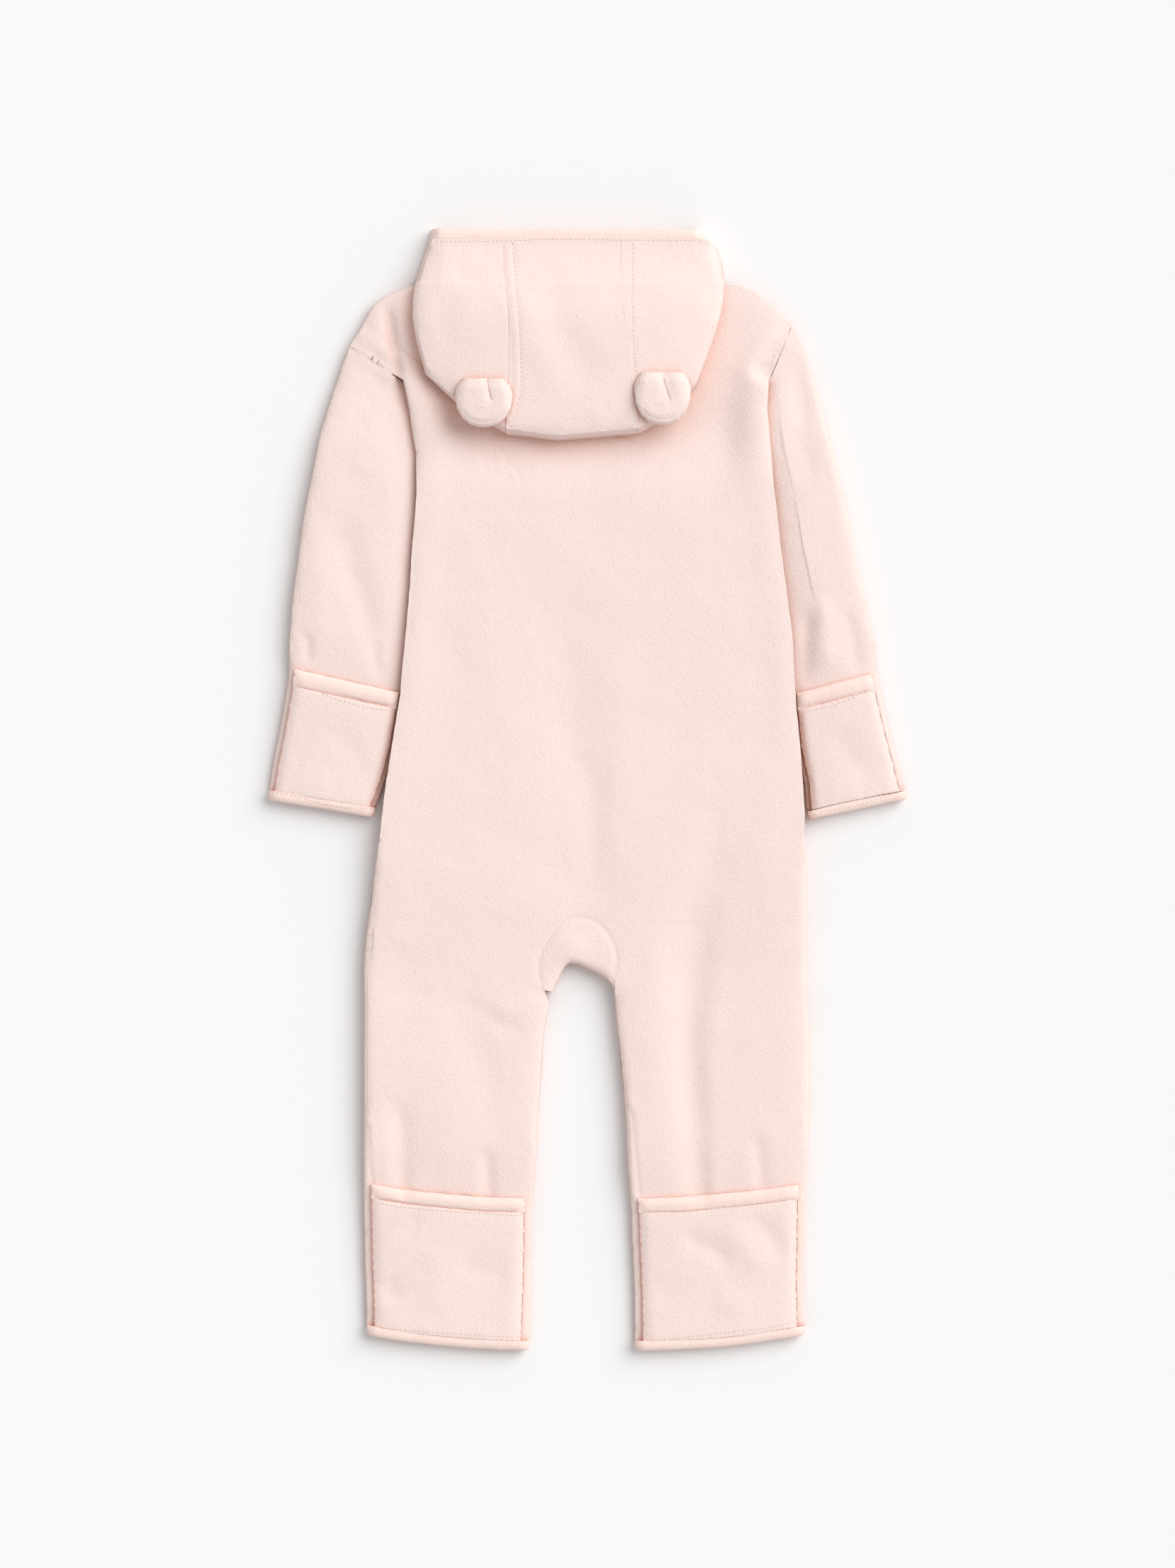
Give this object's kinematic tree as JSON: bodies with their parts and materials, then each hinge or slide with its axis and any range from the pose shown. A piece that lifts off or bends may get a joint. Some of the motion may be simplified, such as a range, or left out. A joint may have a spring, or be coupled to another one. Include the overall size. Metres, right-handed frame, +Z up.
{
  "type": "baby jumpsuit",
  "caption": "Baby's hooded fleece jumpsuit laid flat on its front, with ears on the hood, turn-over mitts and booties, bound edges and a front zip.",
  "frame": {"origin": "on the surface that the garment lies on, under the middle of its outline", "axes": "+Y from the hems to the hood, +Z up from the surface through the front to the back, +X to the right as seen from above"},
  "size_m": [0.3776, 0.6632, 0.0278],
  "materials": {
    "fleece": "soft brushed pale pink fleece with a fine nap",
    "jersey": "smooth peach jersey binding, stitched along its inner edge",
    "zip_tape": "woven tape with a closed coil chain",
    "zip_metal": "satin"
  },
  "bodies": {
    "suit": {"back_body": "fleece", "front_left": "fleece", "front_right": "fleece", "gusset": "fleece", "sleeve_left": "fleece", "sleeve_right": "fleece", "hood_left": "fleece", "hood_centre": "fleece", "hood_right": "fleece", "hood_under": "fleece", "hood_binding": "jersey", "ear_left": "fleece", "ear_right": "fleece", "mitt_flap_left": "fleece", "mitt_flap_right": "fleece", "mitt_binding_left": "jersey", "mitt_binding_right": "jersey", "cuff_binding_left": "jersey", "cuff_binding_right": "jersey", "bootie_flap_left": "fleece", "bootie_flap_right": "fleece", "bootie_binding_left": "jersey", "bootie_binding_right": "jersey", "leg_binding_left": "jersey", "leg_binding_right": "jersey", "zip": "zip_tape", "zip_slider": "zip_metal"},
    "pull": {"zip_pull": "zip_metal"}
  },
  "joints": [
    {"name": "zip_pull", "type": "hinge", "parent": "suit", "child": "pull", "pos_m": [0.00016, 0.2833, 0.0008], "axis": [1, 0, 0], "range_deg": [0, 170]}
  ]
}
